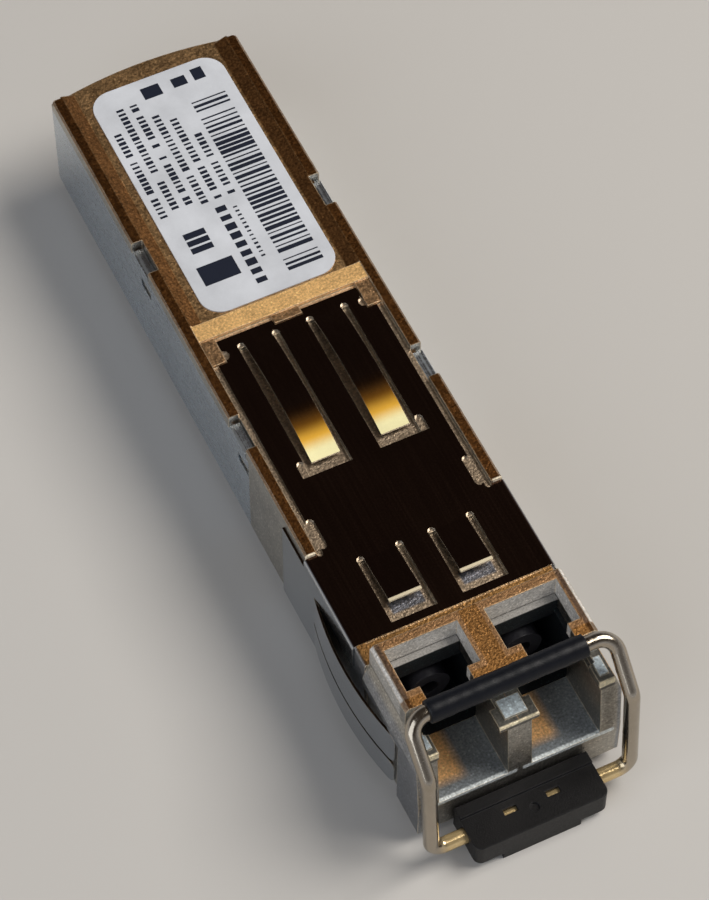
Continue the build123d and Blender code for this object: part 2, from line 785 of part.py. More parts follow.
def delatch_slider():
    """The moulded slider: grip, tongue under the nose, stop lugs and two wedge tines."""
    half = channel_width / 2 - slider_gap
    z = (slider_gap, channel_height - slider_gap)
    tongue_y = (-grip_gap - past / 2, boss_y - boss_front_gap)
    tongue = wide(half, tongue_y, z)
    tine_x = (boss_width / 2 + boss_side_gap, half)
    wedge_y = tine_tip_y - wedge_length
    tines = twin(tine_x, (tongue_y[1] - past, wedge_y + past), z)
    low = z[0] - wedge_drop
    wedge = side_shape([(wedge_y, z[0]), (tine_tip_y - 2 * wedge_flat, low), (tine_tip_y - wedge_flat, low),
                        (tine_tip_y, z[0]), (tine_tip_y, z[1]), (wedge_y, z[1])], tine_x)
    lugs = wide(half + lug_reach, (lug_y, lug_y + lug_length), z)
    return grip() + tongue + lugs + tines + pair(wedge)


def bail_wire():
    """The bail: one bent wire whose ends turn inward into the slider's grip."""
    right = [(bail_half_width, cross_y, cross_z), (bail_half_width, knee_y, knee_z),
             (bail_half_width, pivot_y, pivot_z), (wire_end_x, pivot_y, pivot_z)]
    left = [(-x, y, z) for x, y, z in reversed(right)]
    corners = [bail_foot_corner, bail_knee_corner, bail_corner]
    path = FilletPolyline(*(left + right), radius=corners + corners[::-1])
    start = Plane(origin=path @ 0, z_dir=path % 0)
    return sweep(start * Circle(wire / 2), path=path)


def bail_tube():
    """The soft tube on the bail's crossbar."""
    length = tube_ends_x[1] - tube_ends_x[0]
    ring = Circle(tube_diameter / 2) - Circle(wire / 2 + tube_clearance)
    return Pos(tube_ends_x[0], cross_y, cross_z) * Rot(0, 90, 0) * extrude(ring, length)


# Label

def label():
    """The paper label in the recess behind the bar."""
    width, length = label_x[1] - label_x[0], label_y[1] - label_y[0]
    outline = RectangleRounded(width, length, label_corner)
    return Pos(sum(label_x) / 2, sum(label_y) / 2, label_floor_z) * extrude(outline, label_film)


def small_part_places():
    """Where the small parts stand on the board, in X and Y."""
    capacitors = [(x, y) for x in (-capacitor_x, capacitor_x) for y in capacitor_rows_y]
    resistors = [(x, y) for x in (-resistor_x, resistor_x) for y in resistor_rows_y]
    inductors = [(x, inductor_y) for x in (-inductor_gap, 0, inductor_gap)]
    return capacitors, resistors, inductors


def pieces():
    """Every piece by name, at the datum described at the top."""
    capacitors, resistors, inductors = small_part_places()
    return {
        "housing": housing(),
        "bottom_cover": bottom_cover(),
        "emi_shield": emi_shield(),
        "label": label(),
        "port_insert": port_insert(),
        "transmitter_barrel": barrel(-1),
        "receiver_barrel": barrel(1),
        "transmitter_can": can(-1),
        "receiver_can": can(1),
        "transmitter_flex": flex(-1),
        "receiver_flex": flex(1),
        "barrel_shield": barrel_shield(),
        "barrel_clip": barrel_clip(),
        "circuit_board": circuit_board(),
        "edge_contacts": edge_contacts(),
        "laser_driver": on_board(driver_size, -port_x, chip_row_y),
        "receiver_amplifier": on_board(amplifier_size, port_x, chip_row_y),
        "controller_chip": on_board(controller_size, 0, controller_y),
        "memory_chip": on_board(memory_size, 0, memory_y),
        "heat_pad": heat_pad_piece(),
        "capacitors": small_parts(capacitor_size, capacitors),
        "resistors": small_parts(resistor_size, resistors),
        "inductors": small_parts(inductor_size, inductors),
        "delatch_slider": delatch_slider(),
        "bail_wire": bail_wire(),
        "bail_tube": bail_tube(),
    }


def write_parts():
    """Write one file per piece, moved so that the origin is under the middle of the part."""
    os.makedirs("parts", exist_ok=True)
    place = Pos(0, -(overall_length + rear_bow + grip_front_y) / 2, -lowest_z)
    for name, shape in pieces().items():
        export_step(place * shape, os.path.join("parts", name + ".step"))


write_parts()
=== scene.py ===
import math

import bmesh
import bpy
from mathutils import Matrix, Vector


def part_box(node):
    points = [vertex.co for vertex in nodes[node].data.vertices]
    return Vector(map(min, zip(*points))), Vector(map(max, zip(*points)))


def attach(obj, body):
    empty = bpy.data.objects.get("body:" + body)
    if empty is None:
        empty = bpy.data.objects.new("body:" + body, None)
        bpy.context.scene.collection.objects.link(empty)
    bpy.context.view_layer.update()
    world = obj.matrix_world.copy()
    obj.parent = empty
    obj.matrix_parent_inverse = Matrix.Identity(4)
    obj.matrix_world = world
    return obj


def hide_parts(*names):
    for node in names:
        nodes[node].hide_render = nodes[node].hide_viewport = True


# The looks of a two-port optical transceiver with a wire bail.
# X runs to the right and Y to the rear as seen from the front, and Z is up. Metres.
# Sizes below are in millimetres and are turned to metres by MM. Colours are written as a screen shows them.

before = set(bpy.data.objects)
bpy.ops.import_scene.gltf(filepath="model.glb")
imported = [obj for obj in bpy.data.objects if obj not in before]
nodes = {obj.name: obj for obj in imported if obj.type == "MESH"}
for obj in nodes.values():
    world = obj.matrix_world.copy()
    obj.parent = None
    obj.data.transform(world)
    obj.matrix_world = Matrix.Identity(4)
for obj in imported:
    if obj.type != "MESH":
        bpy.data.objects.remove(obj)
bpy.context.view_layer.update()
MM = 0.001

# Camera: at the photograph's place and angle
CAMERA_PLACE = (-52.48, -110.86, 190.72)
CAMERA_TURN = (33.113, -0.122, -25.825)
CAMERA_LENS = 139.82
CAMERA_SENSOR = 36.0

# Studio
FLOOR_HALF = 600
FLOOR_COLOUR = (190, 187, 183)
SKY_LOW = (214, 216, 222)
SKY_HIGH = (74, 68, 64)
SKY_STRENGTH = 0.82
# Height, as a share of straight up, at which the sky has its upper colour
SKY_TOP = 0.6
# Lamps: place and width in mm, power in watts, colour
KEY_LAMP = ((330, -90, 470), 320, 3.3, (1.0, 0.96, 0.9))
FILL_LAMP = ((-330, -160, 260), 400, 0.9, (0.86, 0.92, 1.0))

# Sockets of nodes that repeat a name for every data type
MIX_SHARE, MIX_FIRST, MIX_SECOND, MIX_RESULT = 0, 6, 7, 2
CHANCE_LOW, CHANCE_HIGH, CHANCE_NUMBER, CHANCE_YES = 2, 3, 1, 3

# Places read from the frame
crown_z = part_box("housing")[1].z
half_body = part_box("bottom_cover")[1].x
label_low, label_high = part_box("label")
wire_low, wire_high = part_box("bail_wire")
tube_low, tube_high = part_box("bail_tube")
insert_wall, label_depth, rail_rise = 0.45 * MM, 0.1 * MM, 0.4 * MM
port_floor_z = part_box("port_insert")[0].z + insert_wall
deck_z = label_low.z - label_depth
rail_z = deck_z + rail_rise

# Steps along the body, from the front lip of the nose
LIP_Y = wire_low.y + 2.15 * MM
CROWN_FRONT = LIP_Y + 2.9 * MM
WINDOW_FRONT = LIP_Y + 3.6 * MM
NOSE_END = LIP_Y + 7.7 * MM
SHIELD_FRONT = LIP_Y + 9.1 * MM
SHORT_TIP = LIP_Y + 10.87 * MM
RAIL_FRONT = LIP_Y + 15.9 * MM
LONG_TIP = LIP_Y + 22.05 * MM
BAR_FRONT = LIP_Y + 33.2 * MM
BAR_REAR = BAR_FRONT + 1.3 * MM
KEYS_FRONT = BAR_FRONT - 2.2 * MM

# Steps across the body, from its middle plane, and heights
RAIL_X = half_body - 0.75 * MM
RAMP_X = RAIL_X - 0.85 * MM
CROWN_X = 6.4 * MM
CROWN_STRIP_X = 5.85 * MM
WINDOW_X = 0.6 * MM
PORT_TOP = crown_z - 2.7 * MM
CAPS_TOP = crown_z - 1.6 * MM
UNDER_DECK = deck_z - 0.6 * MM
OVER_DECK = deck_z + 0.1 * MM
# Beyond the body on any side
FAR = 1.0

# Colours of the casting and of the spring sheet, which change from place to place
NICKEL = (172, 168, 160)
# Warm bronze painted on the casting's upward faces: a painted reflection of a dark warm room
TOP_REFLECTION_BRONZE = (186, 140, 86)
# Tones of the deck, rails, slot floors, keys and bar: partly their own colour and partly painted reflection of
# warm light
LABEL_RING = (206, 166, 118)
RAMP_BRONZE = (150, 106, 64)
RAIL_BRONZE = (112, 74, 40)
SLOT_FLOOR = (204, 182, 156)
SHORT_SLOT_FLOOR = (142, 144, 154)
KEY_TAN = (200, 160, 118)
BAR_GOLD = (232, 186, 122)
# Pale matt band at the front end of each rail: a painted highlight
RAIL_TIP_HIGHLIGHT = (240, 226, 200)
NOSE_SIDE = (146, 148, 152)
# Bronze and dark brown painted on the top of the crown and on its outer strips: painted reflection
CROWN_TOP_REFLECTION = (178, 129, 76)
CROWN_STRIP_REFLECTION = (104, 72, 44)
# Pale greys painted on the window walls and on the insert's rim behind them: painted light in the windows
WINDOW_WALL_LIGHT = (206, 202, 196)
RIM_WALL_LIGHT = (146, 143, 139)
CAP_GREY = (92, 90, 84)
PAD_SILVER = (188, 200, 206)
# Pale band along the lower front edges of the caps: a painted highlight
CAP_EDGE_HIGHLIGHT = (226, 214, 184)
PORT_FLOOR = (132, 138, 142)
# Warm patch on the left of each port floor: a painted reflection
PORT_REFLECTION_PATCH = (232, 182, 124)
# Bright band along the front lip of the port floor: a painted highlight
LIP_HIGHLIGHT = (214, 220, 220)
# Pale colour on the casting's edges: wear, and a painted highlight
WORN_EDGE_AND_HIGHLIGHT = (246, 226, 190)
# Dark brown painted on the spring sheet's upward faces: a painted reflection of a dark room
DARK_TOP_REFLECTION = (80, 60, 50)
# Pale matt band at the ends of the short tongues: a painted highlight
SHORT_TIP_HIGHLIGHT = (232, 218, 186)
# Along each long tongue: where each colour of the painted lamp highlight starts and is full, in mm from the tip
TONGUE_HIGHLIGHT_COLOURS = ((4.3, 2.3, (132, 86, 24)), (2.7, 1.3, (236, 180, 64)), (1.6, 0.5, (255, 246, 190)))
# Where the painted highlight on the long tongues turns matt: starts and is full, in mm from the tip
TONGUE_HIGHLIGHT_MATT = (3.8, 1.4)


def screen(colour):
    """A colour written as a screen shows it, as the light values that a shader takes."""
    parts = [c / 255 for c in colour]
    return tuple(c / 12.92 if c <= 0.04045 else ((c + 0.055) / 1.055) ** 2.4 for c in parts) + (1.0,)


# Node trees

class Wiring:
    """Short ways to add and link the nodes of one tree."""

    def __init__(self, tree):
        self.tree = tree

    def put(self, node, socket, value):
        """Set one input, or link it when the value is another node's output."""
        if isinstance(value, bpy.types.NodeSocket):
            self.tree.links.new(value, node.inputs[socket])
        else:
            node.inputs[socket].default_value = value

    def add(self, kind, settings=None, **inputs):
        """A new node with its settings and inputs."""
        node = self.tree.nodes.new(kind)
        for name, value in (settings or {}).items():
            setattr(node, name, value)
        for name, value in inputs.items():
            self.put(node, name.replace("_", " "), value)
        return node

    def group(self, tree, **inputs):
        """A node group placed in this tree."""
        node = self.tree.nodes.new(self.tree.bl_idname.replace("Tree", "Group"))
        node.node_tree = tree
        for name, value in inputs.items():
            self.put(node, name.replace("_", " "), value)
        return node

    def math(self, operation, a, b=0.0, c=0.0):
        """One sum on numbers or sockets."""
        node = self.add("ShaderNodeMath", {"operation": operation})
        for index, value in enumerate((a, b, c)):
            self.put(node, index, value)
        return node.outputs[0]

    def span(self, value, low, high, out_low=0.0, out_high=1.0, smooth=False):
        """Map a value from one span to another, held at the ends."""
        kind = "SMOOTHSTEP" if smooth else "LINEAR"
        node = self.add("ShaderNodeMapRange", {"interpolation_type": kind})
        for index, number in enumerate((value, low, high, out_low, out_high)):
            self.put(node, index, number)
        return node.outputs[0]

    def blend(self, share, first, second):
        """Two colours mixed by a share."""
        node = self.add("ShaderNodeMix", {"data_type": "RGBA"})
        self.put(node, MIX_SHARE, share)
        self.put(node, MIX_FIRST, first)
        self.put(node, MIX_SECOND, second)
        return node.outputs[MIX_RESULT]


def new_tree(kind, name, inputs, outputs):
    """A node tree with named sockets, its wiring and its two end nodes."""
    tree = bpy.data.node_groups.new(name, kind)
    for label, socket_type, value in inputs:
        socket = tree.interface.new_socket(label, in_out="INPUT", socket_type=socket_type)
        if value is not None:
            socket.default_value = value
    for label, socket_type in outputs:
        tree.interface.new_socket(label, in_out="OUTPUT", socket_type=socket_type)
    return tree, Wiring(tree), tree.nodes.new("NodeGroupInput").outputs, tree.nodes.new("NodeGroupOutput")


def grain_tree():
    """Grain of cast, rolled or moulded surfaces: broad mottle, fine speckle, and a height for relief."""
    tree, w, given, out = new_tree(
        "ShaderNodeTree", "surface grain",
        [("Grain Size", "NodeSocketFloat", 0.2), ("Mottle Size", "NodeSocketFloat", 2.0)],
        [("Mottle", "NodeSocketFloat"), ("Speckle", "NodeSocketFloat"), ("Sparkle", "NodeSocketFloat"),
         ("Height", "NodeSocketFloat")])
    place = w.add("ShaderNodeTexCoord").outputs["Object"]
    fine_scale = w.math("DIVIDE", 1 / MM, given["Grain Size"])
    broad_scale = w.math("DIVIDE", 1 / MM, given["Mottle Size"])
    fine = w.add("ShaderNodeTexNoise", Vector=place, Scale=fine_scale, Detail=3.0, Roughness=0.6)
    broad = w.add("ShaderNodeTexNoise", Vector=place, Scale=broad_scale, Detail=5.0, Roughness=0.55)
    cells = w.add("ShaderNodeTexVoronoi", Vector=place, Scale=fine_scale)
    dots = w.span(cells.outputs["Distance"], 0.1, 0.6, 1.0, 0.0)
    w.put(out, "Mottle", w.span(broad.outputs[0], 0.32, 0.68))
    w.put(out, "Speckle", w.span(fine.outputs[0], 0.3, 0.7))
    chance = w.add("ShaderNodeSeparateXYZ", Vector=cells.outputs["Color"]).outputs["X"]
    w.put(out, "Sparkle", w.math("MULTIPLY", w.span(chance, 0.72, 0.98), dots))
    w.put(out, "Height", w.math("MULTIPLY_ADD", dots, 0.4, fine.outputs[0]))
    return tree


def zone_tree():
    """A soft-edged box, on one or both sides of the middle plane: 1 inside it and 0 outside."""
    tree, w, given, out = new_tree(
        "ShaderNodeTree", "zone",
        [("Low", "NodeSocketVector", None), ("High", "NodeSocketVector", None),
         ("Edge", "NodeSocketFloat", 0.0001), ("Both Sides", "NodeSocketFloat", 1.0)],
        [("Mask", "NodeSocketFloat")])
    place = w.add("ShaderNodeTexCoord").outputs["Object"]
    here = w.add("ShaderNodeSeparateXYZ", Vector=place).outputs
    low = w.add("ShaderNodeSeparateXYZ", Vector=given["Low"]).outputs
    high = w.add("ShaderNodeSeparateXYZ", Vector=given["High"]).outputs
    folded = w.math("SUBTRACT", w.math("ABSOLUTE", here["X"]), here["X"])
    across = w.math("MULTIPLY_ADD", folded, given["Both Sides"], here["X"])
    mask = None
    for axis, value in enumerate((across, here["Y"], here["Z"])):
        outer_low = w.math("SUBTRACT", low[axis], given["Edge"])
        inner_low = w.math("ADD", low[axis], given["Edge"])
        outer_high = w.math("ADD", high[axis], given["Edge"])
        inner_high = w.math("SUBTRACT", high[axis], given["Edge"])
        inside = w.math("MULTIPLY", w.span(value, outer_low, inner_low), w.span(value, outer_high, inner_high))
        mask = inside if mask is None else w.math("MULTIPLY", mask, inside)
    w.put(out, "Mask", mask)
    return tree


def edge_tree():
    """Rounded-looking edges, with a mask of where the edge is worn and has a highlight painted on it."""
    tree, w, given, out = new_tree(
        "ShaderNodeTree", "worn edges",
        [("Radius", "NodeSocketFloat", 0.0001), ("Raggedness", "NodeSocketFloat", 0.0)],
        [("Wear", "NodeSocketFloat"), ("Normal", "NodeSocketVector")])
    bevel = w.add("ShaderNodeBevel", {"samples": 4}, Radius=given["Radius"])
    flat = w.add("ShaderNodeNewGeometry").outputs["Normal"]
    same = w.add("ShaderNodeVectorMath", {"operation": "DOT_PRODUCT"})
    w.put(same, 0, bevel.outputs[0])
    w.put(same, 1, flat)
    bent = w.span(same.outputs["Value"], 0.995, 0.86)
    place = w.add("ShaderNodeTexCoord").outputs["Object"]
    chips = w.add("ShaderNodeTexNoise", Vector=place, Scale=1400.0, Detail=4.0)
    kept = w.span(chips.outputs[0], 0.35, 0.6)
    ragged = w.math("MULTIPLY_ADD", w.math("SUBTRACT", kept, 1.0), given["Raggedness"], 1.0)
    w.put(out, "Wear", w.math("MULTIPLY", bent, ragged))
    w.put(out, "Normal", bevel.outputs[0])
    return tree


def scratch_tree():
    """Fine straight scratches and brushed lines along Y."""
    tree, w, given, out = new_tree(
        "ShaderNodeTree", "scratches",
        [("Spacing", "NodeSocketFloat", 0.15), ("Length", "NodeSocketFloat", 6.0)],
        [("Lines", "NodeSocketFloat")])
    place = w.add("ShaderNodeTexCoord").outputs["Object"]
    across = w.math("DIVIDE", 1 / MM, given["Spacing"])
    along = w.math("DIVIDE", 1 / MM, given["Length"])
    stretch = w.add("ShaderNodeCombineXYZ", X=across, Y=along, Z=across)
    scaled = w.add("ShaderNodeVectorMath", {"operation": "MULTIPLY"})
    w.put(scaled, 0, place)
    w.put(scaled, 1, stretch.outputs[0])
    lines = w.add("ShaderNodeTexNoise", Vector=scaled.outputs[0], Scale=1.0, Detail=3.0)
    w.put(out, "Lines", w.span(lines.outputs[0], 0.4, 0.66))
    return tree


GRAIN, ZONE, EDGES, SCRATCHES = grain_tree(), zone_tree(), edge_tree(), scratch_tree()


# Materials

# How far up a face looks before it counts as a top: from none of it to all of it
LOOKS_UP = (0.55, 0.9)
# Share of the written roughness on the smoothest and the roughest grains
SMOOTHEST, ROUGHEST = 0.8, 1.2
RELIEF_DEPTH = 0.03 * MM
EDGE_RAGGEDNESS = 0.6
# How matt the worn edges with their painted highlight turn
WORN_AND_LIT_DULLNESS = 0.5


class Finish:
    """A material being built: one shader, its wiring, and the colour so far."""

    def __init__(self, name, colour, metallic, grain_size=0.2, mottle_size=2.0):
        self.material = bpy.data.materials.new(name)
        self.material.use_nodes = True
        self.shader = self.material.node_tree.nodes["Principled BSDF"]
        self.w = Wiring(self.material.node_tree)
        self.metallic = metallic
        self.grain = self.w.group(GRAIN, Grain_Size=grain_size, Mottle_Size=mottle_size).outputs
        self.colour = screen(colour)
        normal = self.w.add("ShaderNodeNewGeometry").outputs["Normal"]
        self.up = self.w.add("ShaderNodeSeparateXYZ", Vector=normal).outputs["Z"]

    def over(self, share, colour):
        """Lay a colour over what is there, by a share."""
        self.colour = self.w.blend(share, self.colour, screen(colour))

    def dull(self, share, amount):
        """Turn mirror metal towards a matt surface, by a share."""
        kept = self.w.math("MULTIPLY_ADD", share, -amount, 1.0)
        self.metallic = self.w.math("MULTIPLY", kept, self.metallic)

    def zone(self, x, y, z, edge=0.08, both=True):
        """A mask of a box given by its spans, with the same box on the other side if both are wanted."""
        low, high = zip(x, y, z)
        node = self.w.group(ZONE, Low=low, High=high, Edge=edge * MM, Both_Sides=float(both))
        return node.outputs["Mask"]

    def upward(self, share=None):
        """A mask of faces that look up, within another mask."""
        up = self.w.span(self.up, *LOOKS_UP)
        return up if share is None else self.w.math("MULTIPLY", up, share)

    def finish(self, roughness, relief, speckle=0.0, mottle=0.0, edge=0.0, edge_wear_and_highlight=None, edge_wear_and_highlight_share=0.0,
               lines=None, sparkle=0.0):
        """Wire up the colour, the roughness and the relief. Lines are spacing, length (mm) and strength."""
        w, shader = self.w, self.shader
        shaded = w.add("ShaderNodeMix", {"data_type": "RGBA", "blend_type": "MULTIPLY"})
        shade = w.math("MULTIPLY_ADD", w.math("SUBTRACT", self.grain["Speckle"], 0.5), speckle, 1.0)
        shade = w.math("MULTIPLY_ADD", w.math("SUBTRACT", self.grain["Mottle"], 0.5), mottle, shade)
        # Scattered bright grains: painted glints
        shade = w.math("MULTIPLY_ADD", self.grain["Sparkle"], sparkle, shade)
        grey = w.add("ShaderNodeCombineXYZ", X=shade, Y=shade, Z=shade)
        w.put(shaded, MIX_SHARE, 1.0)
        w.put(shaded, MIX_FIRST, self.colour)
        w.put(shaded, MIX_SECOND, grey.outputs[0])
        self.colour = shaded.outputs[MIX_RESULT]
        rough = w.span(self.grain["Speckle"], 0.0, 1.0, roughness * SMOOTHEST, roughness * ROUGHEST)
        if lines:
            spacing, length, strength = lines
            marks = w.group(SCRATCHES, Spacing=spacing, Length=length).outputs["Lines"]
            rough = w.math("MULTIPLY_ADD", marks, strength * roughness, rough)
        bump = w.add("ShaderNodeBump", Height=self.grain["Height"], Strength=relief, Distance=RELIEF_DEPTH)
        if edge:
            edges = w.group(EDGES, Radius=edge * MM, Raggedness=EDGE_RAGGEDNESS).outputs
            w.put(bump, "Normal", edges["Normal"])
            # Edge colour: wear, and a highlight painted along the edges
            if edge_wear_and_highlight:
                worn = w.math("MULTIPLY", edges["Wear"], edge_wear_and_highlight_share)
                self.over(worn, edge_wear_and_highlight)
                self.dull(worn, WORN_AND_LIT_DULLNESS)
        w.put(shader, "Metallic", self.metallic)
        w.put(shader, "Base Color", self.colour)
        w.put(shader, "Roughness", rough)
        w.put(shader, "Normal", bump.outputs[0])
        return self.material


def colour_deck(f):
    """The deck with its ramps and rails, the slot floors, the keys and the bar, in warm tones that are partly
    their own colour and partly painted reflection of warm light, with a highlight painted on the rail tips.
    """
    f.over(f.upward(f.zone((0, RAMP_X), (BAR_REAR, FAR), (UNDER_DECK, FAR))), LABEL_RING)
    f.over(f.zone((RAMP_X, RAIL_X), (BAR_REAR, FAR), (deck_z + 0.05 * MM, FAR)), RAMP_BRONZE)
    f.over(f.upward(f.zone((RAIL_X, FAR), (SHIELD_FRONT, FAR), (UNDER_DECK, FAR))), RAIL_BRONZE)
    f.over(f.upward(f.zone((0, RAIL_X), (SHIELD_FRONT, BAR_FRONT), (UNDER_DECK, OVER_DECK))), SLOT_FLOOR)
    slot_x = (1.3 * MM, 3.5 * MM)
    slot_y = (SHORT_TIP - 0.55 * MM, SHORT_TIP + 0.3 * MM)
    f.over(f.zone(slot_x, slot_y, (UNDER_DECK, OVER_DECK)), SHORT_SLOT_FLOOR)
    f.over(f.zone((0, RAIL_X), (KEYS_FRONT, BAR_FRONT), (OVER_DECK, rail_z)), KEY_TAN)
    bar = f.zone((0, RAIL_X), (BAR_FRONT, BAR_REAR), (OVER_DECK, rail_z + MM), 0.02)
    f.over(bar, BAR_GOLD)
    f.dull(bar, 0.6)
    # Painted highlight on the front ends of the rails
    rail_tip_highlight_y = (RAIL_FRONT - 0.1 * MM, RAIL_FRONT + 0.12 * MM)
    rail_tip_highlight = f.zone((RAIL_X + 0.1 * MM, FAR), rail_tip_highlight_y, (rail_z - 0.5 * MM, FAR), 0.03)
    f.over(rail_tip_highlight, RAIL_TIP_HIGHLIGHT)
    f.dull(rail_tip_highlight, 0.8)


def colour_nose(f):
    """The outside of the nose, its crown with a reflection painted on its top, its window walls painted pale as
    painted light, and the caps in front with a highlight painted on their front edges.
    """
    f.over(f.zone((half_body - 0.1 * MM, FAR), (LIP_Y - MM, NOSE_END + 2 * MM), (0, crown_z)), NOSE_SIDE)
    crown_y, crown_top = (LIP_Y, NOSE_END), (crown_z - 0.2 * MM, crown_z + MM)
    # Painted reflection on the top of the crown and of its outer strips
    f.over(f.upward(f.zone((0, CROWN_STRIP_X), crown_y, crown_top)), CROWN_TOP_REFLECTION)
    f.over(f.upward(f.zone((CROWN_STRIP_X, CROWN_X), crown_y, crown_top)), CROWN_STRIP_REFLECTION)
    window_walls(f, WINDOW_WALL_LIGHT)
    caps_y = (LIP_Y - MM, CROWN_FRONT - 0.1 * MM)
    caps = f.zone((0, CROWN_X), caps_y, (PORT_TOP - 0.05 * MM, CAPS_TOP), 0.03)
    f.over(caps, CAP_GREY)
    f.dull(caps, 0.5)
    pad_y = (LIP_Y + 0.95 * MM, LIP_Y + 2.22 * MM)
    for middle_x, half_width, height in ((0, 0.74, 0.42), (5.875, 0.3, 0.72)):
        pad_x = ((middle_x - half_width) * MM, (middle_x + half_width) * MM)
        pad = f.zone(pad_x, pad_y, (PORT_TOP + height * MM, PORT_TOP + MM), 0.02)
        f.over(pad, PAD_SILVER)
        f.dull(pad, 0.3)
    # Painted highlight along the front edges of the caps
    cap_highlight_y = (LIP_Y - MM, LIP_Y + 0.62 * MM)
    f.over(f.zone((0, CROWN_X), cap_highlight_y, (PORT_TOP + 0.2 * MM, CAPS_TOP), 0.04), CAP_EDGE_HIGHLIGHT)


def colour_ports(f):
    """The floor of the ports, with a warm reflection painted in the left part of each, and a highlight painted
    on the front lip.
    """
    floor_z = (port_floor_z - 0.6 * MM, port_floor_z + 0.6 * MM)
    port_floor = f.upward(f.zone((0, CROWN_X), (LIP_Y - MM, NOSE_END), floor_z))
    f.over(port_floor, PORT_FLOOR)
    # Painted reflection: a warm patch in the left part of each port floor
    reflection_y = (LIP_Y + 1.1 * MM, LIP_Y + 5.6 * MM)
    reflection_z = (port_floor_z - MM, port_floor_z + MM)
    reflection_width, reflection_edge = 2.3, 0.35
    for left_x in (-5.5, 0.75):
        reflection_x = (left_x * MM, (left_x + reflection_width) * MM)
        reflection_patch = f.zone(reflection_x, reflection_y, reflection_z, reflection_edge, False)
        f.over(f.w.math("MULTIPLY", port_floor, reflection_patch), PORT_REFLECTION_PATCH)
    f.dull(port_floor, 0.6)
    # Painted highlight along the front lip
    lip_highlight_z = (port_floor_z - 0.3 * MM, port_floor_z + 0.1 * MM)
    lip_highlight = f.zone((0.2 * MM, CROWN_X), (LIP_Y - MM, LIP_Y + 0.25 * MM), lip_highlight_z, 0.05)
    f.over(lip_highlight, LIP_HIGHLIGHT)
    f.dull(lip_highlight, 0.6)


def window_walls(f, colour):
    """The walls of the two windows in the crown, painted pale and matt: painted light on walls that lie in
    shade.
    """
    wall_z = (crown_z - 1.65 * MM, crown_z - 0.04 * MM)
    painted_lit_walls = f.zone((WINDOW_X, CROWN_X), (WINDOW_FRONT, NOSE_END), wall_z, 0.05)
    f.over(painted_lit_walls, colour)
    f.dull(painted_lit_walls, 0.9)


def cast_housing():
    """Nickel-plated casting: grey on its sides, with a warm bronze reflection painted where it faces up, and
    granular.
    """
    f = Finish("cast_bronze_plate", NICKEL, metallic=1.0, grain_size=0.16, mottle_size=1.6)
    # Painted reflection: warm bronze on every face that looks up
    f.over(f.upward(), TOP_REFLECTION_BRONZE)
    colour_deck(f)
    colour_nose(f)
    colour_ports(f)
    return f.finish(roughness=0.36, relief=0.5, speckle=0.7, mottle=0.25, edge=0.10, edge_wear_and_highlight=WORN_EDGE_AND_HIGHLIGHT,
                    edge_wear_and_highlight_share=0.8, sparkle=0.8)


def rolled_cover():
    """Rolled sheet with fine lines along it; the blue in its colour is a painted reflection of the bluish shade
    beside it.
    """
    f = Finish("rolled_cover_sheet", (196, 204, 212), metallic=1.0, grain_size=0.3, mottle_size=6.0)
    return f.finish(roughness=0.24, relief=0.06, speckle=0.05, mottle=0.10, edge=0.06, edge_wear_and_highlight=(230, 228, 222),
                    edge_wear_and_highlight_share=0.3, lines=(0.12, 9.0, 0.5))


def spring_sheet():
    """Spring sheet with a dark reflection painted on its top, a lamp highlight painted in gold at the tips of
    the long tongues, and bright sides.
    """
    f = Finish("spring_sheet_mirror", (182, 186, 190), metallic=1.0, grain_size=0.12, mottle_size=5.0)
    # Painted reflection: dark brown on every face that looks up
    f.over(f.upward(), DARK_TOP_REFLECTION)
    place = f.w.add("ShaderNodeTexCoord").outputs["Object"]
    along = f.w.add("ShaderNodeSeparateXYZ", Vector=place).outputs["Y"]
    sheet_z = (deck_z - MM, deck_z + MM)
    tongues = f.zone((1.35 * MM, 3.45 * MM), (LONG_TIP - 0.1 * MM, BAR_FRONT - MM), sheet_z, 0.01)
    # Painted lamp highlight at the tips of the long tongues, gold to near white
    for start, full, colour in TONGUE_HIGHLIGHT_COLOURS:
        share = f.w.span(along, LONG_TIP + start * MM, LONG_TIP + full * MM, smooth=True)
        f.over(f.upward(f.w.math("MULTIPLY", tongues, share)), colour)
    start, full = TONGUE_HIGHLIGHT_MATT
    tongue_highlight_share = f.w.span(along, LONG_TIP + start * MM, LONG_TIP + full * MM, smooth=True)
    f.dull(f.upward(f.w.math("MULTIPLY", tongues, tongue_highlight_share)), 0.85)
    # Painted highlight at the ends of the short tongues
    short_tip_highlight_y = (SHORT_TIP - 0.3 * MM, SHORT_TIP + 0.22 * MM)
    short_tip_highlight = f.zone((1.2 * MM, 3.7 * MM), short_tip_highlight_y, sheet_z, 0.02)
    f.over(short_tip_highlight, SHORT_TIP_HIGHLIGHT)
    f.dull(short_tip_highlight, 0.8)
    return f.finish(roughness=0.16, relief=0.03, speckle=0.05, mottle=0.2, edge=0.04, edge_wear_and_highlight=(226, 206, 168),
                    edge_wear_and_highlight_share=0.5, lines=(0.1, 7.0, 0.3))


def plain_metal(name, colour, roughness):
    """An even metal for pieces inside the module."""
    f = Finish(name, colour, metallic=1.0, grain_size=0.2, mottle_size=3.0)
    return f.finish(roughness, relief=0.1, speckle=0.1, mottle=0.12, edge=0.04)


